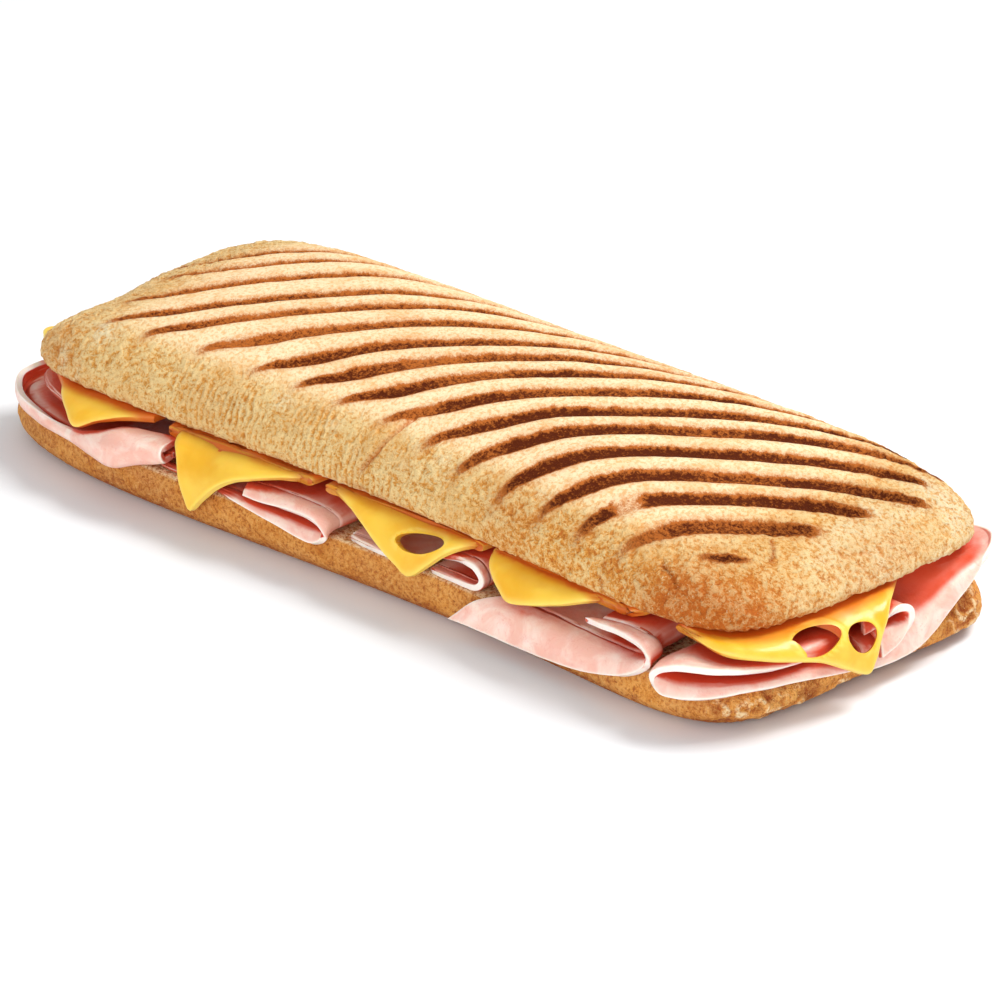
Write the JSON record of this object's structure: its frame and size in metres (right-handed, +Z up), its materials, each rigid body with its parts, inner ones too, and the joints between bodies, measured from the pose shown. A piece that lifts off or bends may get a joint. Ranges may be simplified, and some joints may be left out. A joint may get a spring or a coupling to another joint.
{
  "type": "ham and cheese panini",
  "caption": "Pressed ciabatta sandwich with grill marks, folded ham slices and soft cheese hanging out between its halves.",
  "frame": {"origin": "middle of the flat underside of the bottom half", "axes": "+X along the loaf, +Y to its far long side, +Z up; the near long side, where the filling hangs out most, faces -Y"},
  "size_m": [0.246, 0.1049, 0.044],
  "materials": {
    "top_crust": "dry floury toasted crust with dark brown grill marks",
    "bottom_crust": "golden brown toasted crust",
    "cheese": "soft glossy melted cheese",
    "ham": "moist cooked ham"
  },
  "bodies": {
    "root": {"bread_bottom": "bottom_crust", "bread_top": "top_crust", "cheese_band": "cheese", "cheese_drape": "cheese", "cheese_end": "cheese", "cheese_left": "cheese", "cheese_tip": "cheese", "ham_corner": "ham", "ham_curl": "ham", "ham_drape": "ham", "ham_end": "ham", "ham_end_loop": "ham", "ham_flat": "ham", "ham_left": "ham", "ham_loop": "ham", "ham_under": "ham"}
  },
  "joints": []
}
